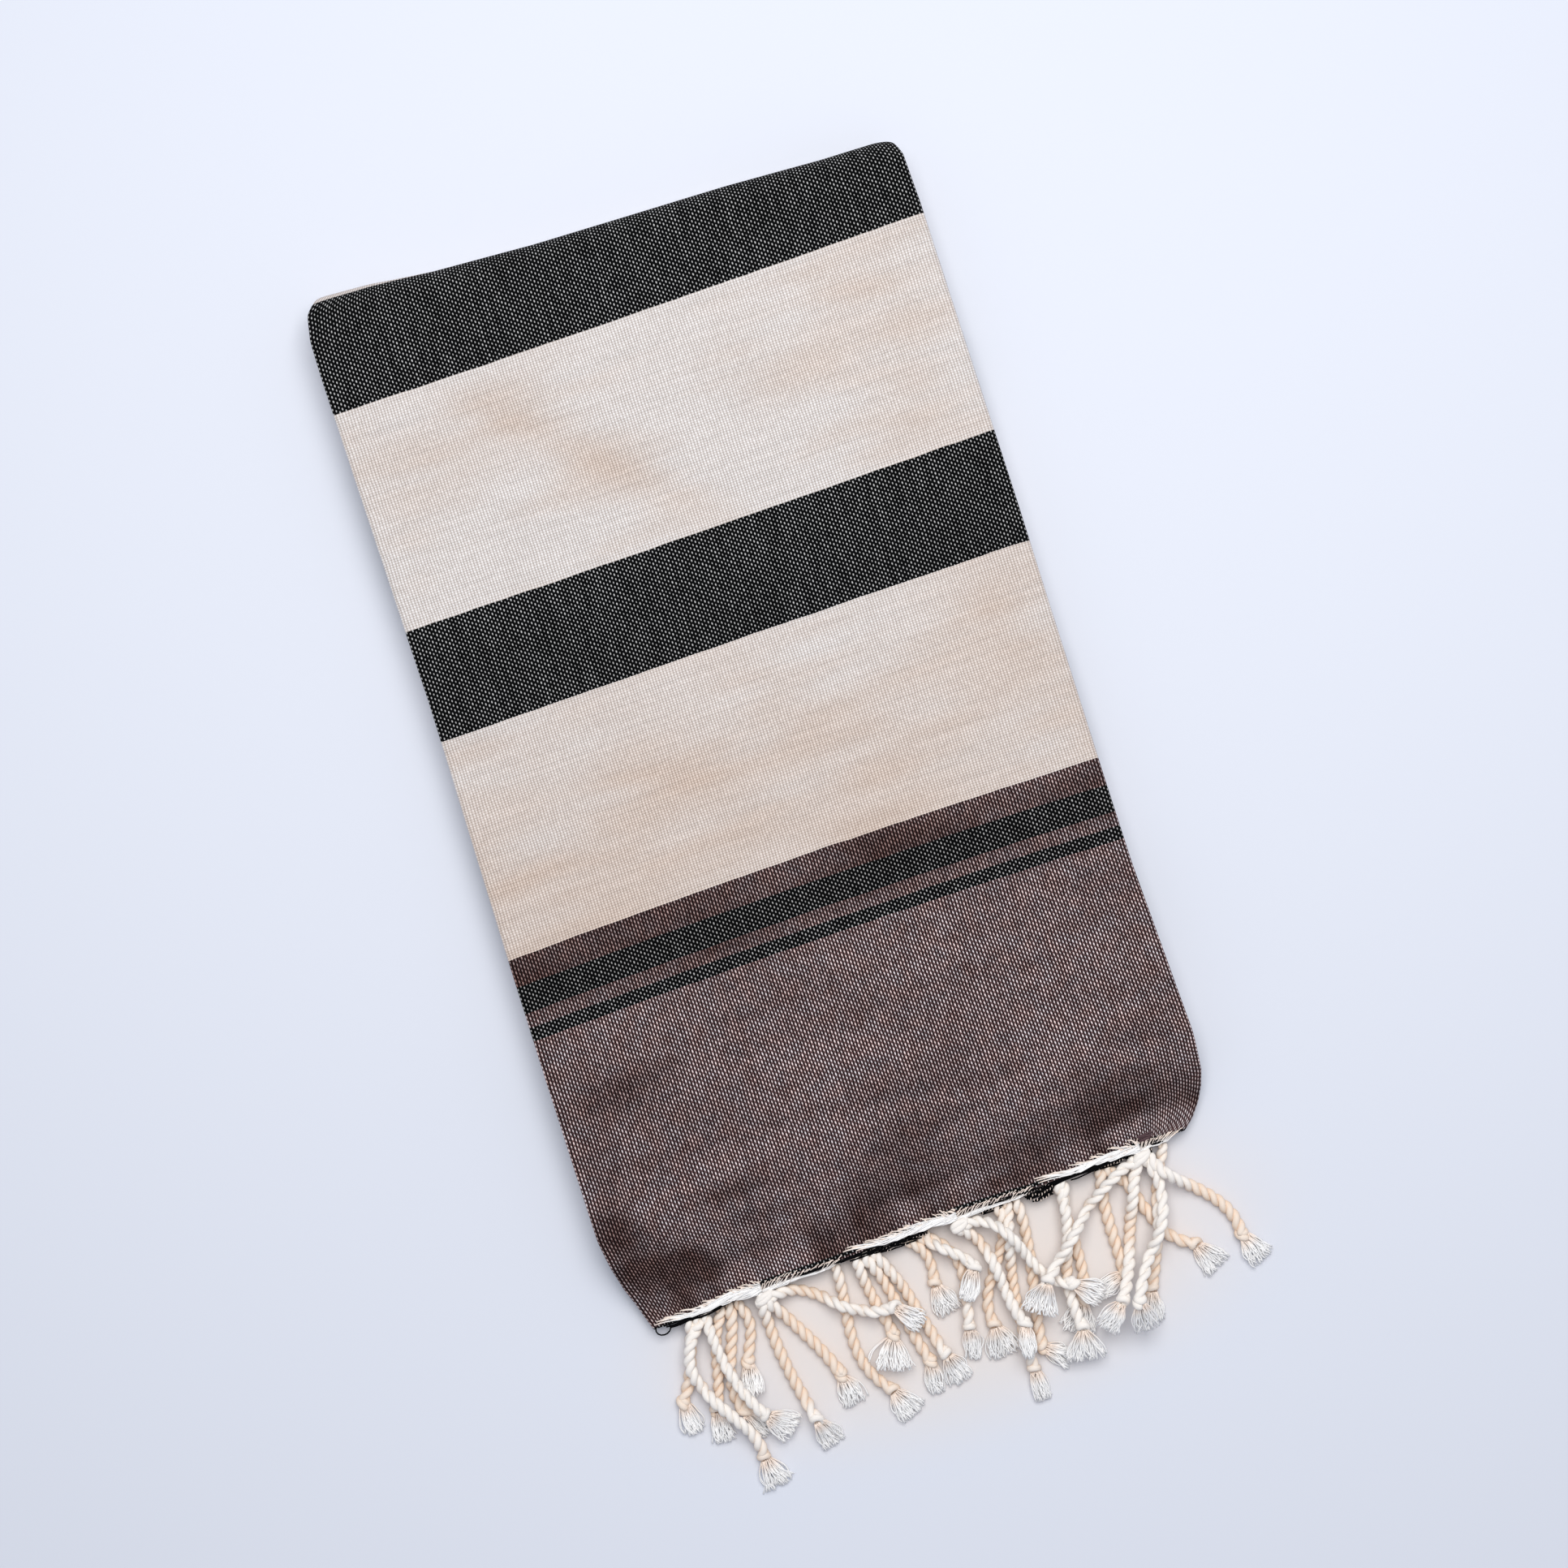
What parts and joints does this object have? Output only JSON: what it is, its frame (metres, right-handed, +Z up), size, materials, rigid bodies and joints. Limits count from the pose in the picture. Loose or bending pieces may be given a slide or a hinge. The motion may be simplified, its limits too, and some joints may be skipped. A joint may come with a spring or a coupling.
{
  "type": "hammam towel",
  "caption": "Flat-woven striped cotton hammam towel, folded into an oblong stack, its knotted and twisted fringe spread past one end.",
  "frame": {"origin": "on the surface that the towel lies on, near the middle of the folded stack's flat underside", "axes": "+X along the stripes, +Y from the fringe towards the folded end, +Z up"},
  "size_m": [0.2626, 0.5213, 0.0243],
  "materials": {
    "cloth": "flat-woven cotton in black, cream and mauve-brown stripes",
    "cord": "undyed twisted cotton"
  },
  "bodies": {
    "root": {"cloth": "cloth", "fringe_1": "cord", "fringe_2": "cord", "fringe_3": "cord", "fringe_4": "cord"}
  },
  "joints": []
}
